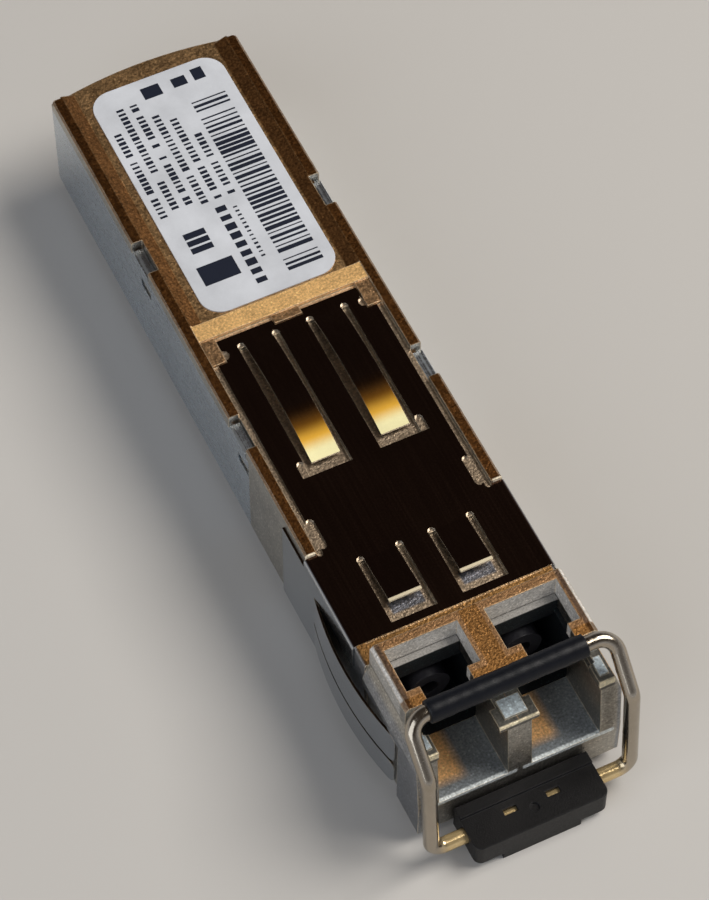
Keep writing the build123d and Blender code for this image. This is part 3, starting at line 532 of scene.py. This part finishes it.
def moulding(name, colour, roughness, relief=0.15, grain=0.15, speckle=0.3, edge=0.06, worn=None, shine=0.5):
    """Plastic, rubber, paper or ink, with rubbed edges and a highlight painted on them where an edge colour is
    given.
    """
    f = Finish(name, colour, metallic=0.0, grain_size=grain, mottle_size=3.0)
    f.shader.inputs["Specular IOR Level"].default_value = shine
    edge_wear_and_highlight_share = 0.4 if worn else 0.0
    return f.finish(roughness, relief, speckle, mottle=0.2, edge=edge, edge_wear_and_highlight=worn, edge_wear_and_highlight_share=edge_wear_and_highlight_share)


def insert_moulding():
    """Black moulding with fine glints in it, and a rim behind the windows painted pale grey as painted light.
    """
    f = Finish("black_moulding", (20, 24, 28), metallic=0.0, grain_size=0.12, mottle_size=2.0)
    f.shader.inputs["Specular IOR Level"].default_value = 0.3
    f.over(f.w.math("MULTIPLY", f.grain["Sparkle"], 0.5), (74, 104, 104))
    window_walls(f, RIM_WALL_LIGHT)
    return f.finish(roughness=0.5, relief=0.4, speckle=0.6, mottle=0.2, edge=0.05)


def bail_finish():
    """Bright drawn wire, warmer where it turns into the grip, and made matt there as painted light against the
    grip's shade.
    """
    f = Finish("bright_wire", (172, 162, 147), metallic=1.0, grain_size=0.1, mottle_size=3.0)
    warm_lit_foot_z = (wire_low.z - MM, wire_low.z + 1.4 * MM)
    # Painted light: the warm foot is made matt so that it stays bright in the grip's shade
    warm_lit_foot = f.zone((0, 6.1 * MM), (-FAR, FAR), warm_lit_foot_z, 0.4)
    f.over(warm_lit_foot, (216, 190, 140))
    f.dull(warm_lit_foot, 0.35)
    return f.finish(roughness=0.12, relief=0.05, speckle=0.06, mottle=0.2, lines=(0.08, 3.0, 1.2))


def board_finish():
    """Green lacquer over copper lines."""
    f = Finish("board_green", (24, 92, 52), metallic=0.0, grain_size=0.2, mottle_size=4.0)
    place = f.w.add("ShaderNodeTexCoord").outputs["Object"]
    tracks = f.w.add("ShaderNodeTexBrick", Vector=place, Scale=420.0, Mortar_Size=0.03)
    f.over(f.w.math("MULTIPLY", tracks.outputs["Fac"], 0.5), (58, 132, 84))
    return f.finish(roughness=0.3, relief=0.08, speckle=0.1, mottle=0.15)


FINISHES = {
    cast_housing(): ["housing"],
    rolled_cover(): ["bottom_cover"],
    spring_sheet(): ["emi_shield"],
    moulding("label_paper", (198, 201, 207), 0.5, relief=0.05, grain=0.12, speckle=0.03, edge=0.04,
             shine=0.3): ["label"],
    insert_moulding(): ["port_insert"],
    moulding("barrel_moulding", (38, 38, 44), 0.4): ["transmitter_barrel", "receiver_barrel"],
    plain_metal("gold_plate", (232, 196, 110), 0.22): ["transmitter_can", "receiver_can", "edge_contacts"],
    moulding("flex_film", (186, 116, 40), 0.3): ["transmitter_flex", "receiver_flex"],
    plain_metal("stamped_steel", (190, 190, 190), 0.3): ["barrel_shield", "barrel_clip"],
    board_finish(): ["circuit_board"],
    moulding("chip_black", (34, 34, 36), 0.45): [
        "laser_driver", "receiver_amplifier", "controller_chip", "memory_chip", "resistors"],
    moulding("heat_pad_grey", (150, 156, 164), 0.7): ["heat_pad"],
    moulding("ceramic_tan", (176, 140, 104), 0.4): ["capacitors"],
    moulding("inductor_grey", (84, 84, 88), 0.5): ["inductors"],
    moulding("slider_moulding", (15, 14, 15), 0.42, relief=0.3, grain=0.1, speckle=0.4, edge=0.12,
             worn=(58, 58, 62), shine=0.2): ["delatch_slider"],
}
for material, names in FINISHES.items():
    for name in names:
        nodes[name].data.materials.clear()
        nodes[name].data.materials.append(material)


# Pieces that Blender makes

def settled(name, curve_or_mesh, tree, **inputs):
    """Run a geometry tree on some data, and keep the result as a plain mesh piece."""
    source = bpy.data.objects.new(name + "_source", curve_or_mesh)
    bpy.context.scene.collection.objects.link(source)
    modifier = source.modifiers.new("shape", "NODES")
    modifier.node_group = tree
    for item in tree.interface.items_tree:
        key = item.name.replace(" ", "_")
        if item.item_type == "SOCKET" and item.in_out == "INPUT" and key in inputs:
            modifier[item.identifier] = inputs[key]
    evaluated = source.evaluated_get(bpy.context.evaluated_depsgraph_get())
    piece = bpy.data.objects.new(name, bpy.data.meshes.new_from_object(evaluated))
    bpy.context.scene.collection.objects.link(piece)
    source.modifiers.remove(modifier)
    bpy.data.objects.remove(source)
    return piece


def wire_tree():
    """A round wire along a path whose bends have the radius kept on their points."""
    tree, w, given, out = new_tree(
        "GeometryNodeTree", "bent wire",
        [("Path", "NodeSocketGeometry", None), ("Wire Radius", "NodeSocketFloat", 0.0005),
         ("Steps", "NodeSocketInt", 14), ("Sides", "NodeSocketInt", 32),
         ("Metal", "NodeSocketMaterial", None)],
        [("Geometry", "NodeSocketGeometry")])
    bend = w.add("GeometryNodeInputRadius").outputs[0]
    path = w.add("GeometryNodeFilletCurve", {"mode": "POLY"}, Curve=given["Path"], Count=given["Steps"],
                 Radius=bend)
    even = w.add("GeometryNodeSetCurveRadius", Curve=path.outputs[0], Radius=1.0)
    ring = w.add("GeometryNodeCurvePrimitiveCircle", Resolution=given["Sides"], Radius=given["Wire Radius"])
    bar = w.add("GeometryNodeCurveToMesh", Curve=even.outputs[0], Profile_Curve=ring.outputs[0], Fill_Caps=True)
    smooth = w.add("GeometryNodeSetShadeSmooth", Geometry=bar.outputs[0])
    real = w.add("GeometryNodeRealizeInstances", Geometry=smooth.outputs[0])
    coated = w.add("GeometryNodeSetMaterial", Geometry=real.outputs[0], Material=given["Metal"])
    w.put(out, "Geometry", coated.outputs[0])
    return tree


def bail_wire():
    """The bail's wire, from one end in the grip round to the other."""
    radius = 0.5 * MM
    foot_bend, knee_bend, top_bend = 0.9 * MM, 1.0 * MM, 1.2 * MM
    side_x, end_x = wire_high.x - radius, 0.9 * MM
    pivot_y, pivot_z = wire_low.y + radius, wire_low.z + radius
    knee_y, knee_z = pivot_y + 0.7 * MM, pivot_z + 7.4 * MM
    cross_y, cross_z = wire_high.y - radius, wire_high.z - radius
    right = [(side_x, cross_y, cross_z, top_bend), (side_x, knee_y, knee_z, knee_bend),
             (side_x, pivot_y, pivot_z, foot_bend), (end_x, pivot_y, pivot_z, 0.0)]
    stops = [(-x, y, z, bend) for x, y, z, bend in reversed(right)] + right
    curve = bpy.data.curves.new("bail_path", "CURVE")
    curve.dimensions = "3D"
    spline = curve.splines.new("POLY")
    spline.points.add(len(stops) - 1)
    for point, (x, y, z, bend) in zip(spline.points, stops):
        point.co = (x, y, z, 1)
        point.radius = bend
    metal = bail_finish()
    piece = settled("bail_wire_smooth", curve, wire_tree(), Wire_Radius=radius, Metal=metal)
    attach(piece, "bail")
    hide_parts("bail_wire")


def lathe(name, outline, centre, sides, material):
    """A closed outline, in X and radius, turned round a line along X."""
    shape = bmesh.new()
    angles = [2 * math.pi * k / sides for k in range(sides)]
    rings = []
    for x, radius in outline:
        ring = [(x, centre.y + radius * math.cos(a), centre.z + radius * math.sin(a)) for a in angles]
        rings.append([shape.verts.new(place) for place in ring])
    for first, second in zip(rings, rings[1:] + rings[:1]):
        for k in range(sides):
            following = (k + 1) % sides
            shape.faces.new((first[k], first[following], second[following], second[k]))
    bmesh.ops.recalc_face_normals(shape, faces=shape.faces)
    for face in shape.faces:
        face.smooth = True
    mesh = bpy.data.meshes.new(name)
    shape.to_mesh(mesh)
    mesh.materials.append(material)
    piece = bpy.data.objects.new(name, mesh)
    bpy.context.scene.collection.objects.link(piece)
    return piece


def bail_tube():
    """The soft tube on the crossbar, with eased ends and a slight waist where it was pressed on."""
    centre = (tube_low + tube_high) / 2
    outer, inner = (tube_high.z - tube_low.z) / 2, 0.505 * MM
    ease, waist, ripple_height = 0.12 * MM, 0.014 * MM, 0.008 * MM
    shoulder = ease * 0.3
    bands, sides = 40, 48
    outline = [(tube_low.x, inner), (tube_low.x, outer - ease), (tube_low.x + shoulder, outer - shoulder)]
    for k in range(bands + 1):
        x = tube_low.x + ease + (tube_high.x - tube_low.x - 2 * ease) * k / bands
        ripple = ripple_height * (math.sin(k * 1.7) + math.sin(k * 0.6)) - waist
        outline.append((x, outer + ripple))
    outline.append((tube_high.x - shoulder, outer - shoulder))
    outline += [(tube_high.x, outer - ease), (tube_high.x, inner)]
    rubber = moulding("tube_rubber", (13, 15, 21), 0.40, relief=0.2, grain=0.1, speckle=0.25, edge=0.0,
                      shine=0.22)
    piece = lathe("bail_tube_soft", outline, centre, sides, rubber)
    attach(piece, "bail")
    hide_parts("bail_tube")


# Print on the label: plain bars and dashes only

def dash_tree():
    """A row of printed dashes along Y, of chance lengths, with chance gaps."""
    tree, w, given, out = new_tree(
        "GeometryNodeTree", "dash row",
        [("Start", "NodeSocketVector", None), ("Pitch", "NodeSocketFloat", 0.0005),
         ("Count", "NodeSocketInt", 10), ("Across", "NodeSocketFloat", 0.0005),
         ("Shortest", "NodeSocketFloat", 0.0002), ("Longest", "NodeSocketFloat", 0.0004),
         ("Thickness", "NodeSocketFloat", 0.00001), ("Kept", "NodeSocketFloat", 0.9),
         ("Seed", "NodeSocketInt", 1)],
        [("Geometry", "NodeSocketGeometry")])
    step = w.add("ShaderNodeCombineXYZ", Y=given["Pitch"])
    row = w.add("GeometryNodeMeshLine", {"mode": "OFFSET"}, Count=given["Count"], Start_Location=given["Start"],
                Offset=step.outputs[0])
    length = w.add("FunctionNodeRandomValue", {"data_type": "FLOAT"}, Seed=given["Seed"])
    w.put(length, CHANCE_LOW, given["Shortest"])
    w.put(length, CHANCE_HIGH, given["Longest"])
    kept = w.add("FunctionNodeRandomValue", {"data_type": "BOOLEAN"}, Probability=given["Kept"],
                 Seed=given["Seed"])
    size = w.add("ShaderNodeCombineXYZ", X=given["Across"], Y=length.outputs[CHANCE_NUMBER],
                 Z=given["Thickness"])
    bar = w.add("GeometryNodeMeshCube", Size=(1.0, 1.0, 1.0))
    dashes = w.add("GeometryNodeInstanceOnPoints", Points=row.outputs[0], Selection=kept.outputs[CHANCE_YES],
                   Instance=bar.outputs[0], Scale=size.outputs[0])
    w.put(out, "Geometry", dashes.outputs[0])
    return tree


def print_tree(rows, thickness):
    """Every printed row, joined and inked."""
    tree, w, given, out = new_tree(
        "GeometryNodeTree", "label print",
        [("Blank", "NodeSocketGeometry", None), ("Ink", "NodeSocketMaterial", None)],
        [("Geometry", "NodeSocketGeometry")])
    dash = dash_tree()
    joined = w.add("GeometryNodeJoinGeometry")
    for seed, (x, y, count, pitch, across, shortest, longest, kept) in enumerate(rows, 1):
        start = (label_low.x + x * MM, label_low.y + y * MM, label_high.z + thickness / 2)
        row = w.group(dash, Start=start, Pitch=pitch * MM, Count=count, Across=across * MM,
                      Shortest=shortest * MM, Longest=longest * MM, Thickness=thickness, Kept=kept, Seed=seed)
        tree.links.new(row.outputs[0], joined.inputs[0])
    real = w.add("GeometryNodeRealizeInstances", Geometry=joined.outputs[0])
    inked = w.add("GeometryNodeSetMaterial", Geometry=real.outputs[0], Material=given["Ink"])
    w.put(out, "Geometry", inked.outputs[0])
    return tree


# One printed row each: place of its first dash from the label's front left corner, number of dashes, pitch,
# width across, shortest and longest dash (mm), and the share of dashes that is printed
PRINTED_ROWS = [
    (0.69, 8.55, 21, 0.37, 0.5, 0.12, 0.30, 0.87),     # six rows of short dashes
    (1.65, 8.55, 26, 0.37, 0.5, 0.12, 0.30, 0.87),
    (2.61, 8.55, 26, 0.37, 0.5, 0.12, 0.30, 0.87),
    (3.57, 8.55, 22, 0.37, 0.5, 0.12, 0.30, 0.87),
    (4.53, 8.55, 20, 0.37, 0.5, 0.12, 0.30, 0.87),
    (5.49, 8.55, 15, 0.37, 0.5, 0.12, 0.30, 0.87),
    (7.4, 1.3, 40, 0.385, 2.45, 0.07, 0.33, 0.95),     # stripes
    (4.3, 1.3, 9, 0.78, 0.72, 0.36, 0.55, 1.0),        # larger dashes at the front
    (5.2, 3.0, 13, 0.36, 0.28, 0.10, 0.18, 1.0),       # smallest dashes
    (2.1, 3.1, 1, 1.0, 2.5, 1.5, 1.6, 1.0),            # block at the front
    (1.9, 5.2, 3, 0.62, 1.5, 0.4, 0.5, 1.0),           # bars behind it
    (4.2, 18.4, 1, 1.0, 1.3, 0.9, 1.0, 1.0),           # blocks at the rear
    (6.2, 18.4, 1, 1.0, 1.0, 0.7, 0.8, 1.0),
    (7.6, 18.5, 1, 1.0, 0.8, 0.9, 1.0, 1.0),
]
INK_THICKNESS = 0.012 * MM


def label_print():
    """Stripes down the right side, rows of dashes beside them, and plain blocks at both ends."""
    ink = moulding("label_ink", (20, 26, 42), 0.5, relief=0.05, grain=0.1, speckle=0.1, edge=0.0, shine=0.3)
    blank = bpy.data.meshes.new("print_blank")
    piece = settled("label_print", blank, print_tree(PRINTED_ROWS, INK_THICKNESS), Ink=ink)
    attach(piece, "module")


bail_wire()
bail_tube()
label_print()


# Studio

def floor():
    """A plain pale floor."""
    mesh = bpy.data.meshes.new("floor")
    half = FLOOR_HALF * MM
    corners = [(-half, -half, 0), (half, -half, 0), (half, half, 0), (-half, half, 0)]
    mesh.from_pydata(corners, [], [(0, 1, 2, 3)])
    material = bpy.data.materials.new("floor_paper")
    material.use_nodes = True
    shader = material.node_tree.nodes["Principled BSDF"]
    shader.inputs["Base Color"].default_value = screen(FLOOR_COLOUR)
    shader.inputs["Roughness"].default_value = 0.85
    mesh.materials.append(material)
    piece = bpy.data.objects.new("floor", mesh)
    bpy.context.scene.collection.objects.link(piece)


def lamp(name, place, width, power, colour):
    """A soft square lamp that faces the part."""
    data = bpy.data.lights.new(name, "AREA")
    data.size = width * MM
    data.energy = power
    data.color = colour
    spot = Vector(place) * MM
    piece = bpy.data.objects.new(name, data)
    piece.location = spot
    piece.rotation_euler = (-spot).to_track_quat("-Z", "Y").to_euler()
    bpy.context.scene.collection.objects.link(piece)


def sky():
    """Soft light from all round, paler near the floor."""
    world = bpy.data.worlds.new("studio")
    world.use_nodes = True
    bpy.context.scene.world = world
    w = Wiring(world.node_tree)
    ray = w.add("ShaderNodeSeparateXYZ", Vector=w.add("ShaderNodeTexCoord").outputs["Generated"])
    share = w.span(ray.outputs["Z"], 0.0, SKY_TOP, smooth=True)
    back = world.node_tree.nodes["Background"]
    w.put(back, "Color", w.blend(share, screen(SKY_LOW), screen(SKY_HIGH)))
    back.inputs["Strength"].default_value = SKY_STRENGTH


def camera():
    """The camera that took the photograph, as near as its picture tells."""
    data = bpy.data.cameras.new("camera")
    data.lens = CAMERA_LENS
    data.sensor_width = CAMERA_SENSOR
    piece = bpy.data.objects.new("camera", data)
    piece.location = [c * MM for c in CAMERA_PLACE]
    piece.rotation_euler = [math.radians(a) for a in CAMERA_TURN]
    bpy.context.scene.collection.objects.link(piece)
    bpy.context.scene.camera = piece


floor()
lamp("key_lamp", *KEY_LAMP)
lamp("fill_lamp", *FILL_LAMP)
sky()
camera()
bpy.context.scene.view_settings.view_transform = "Standard"
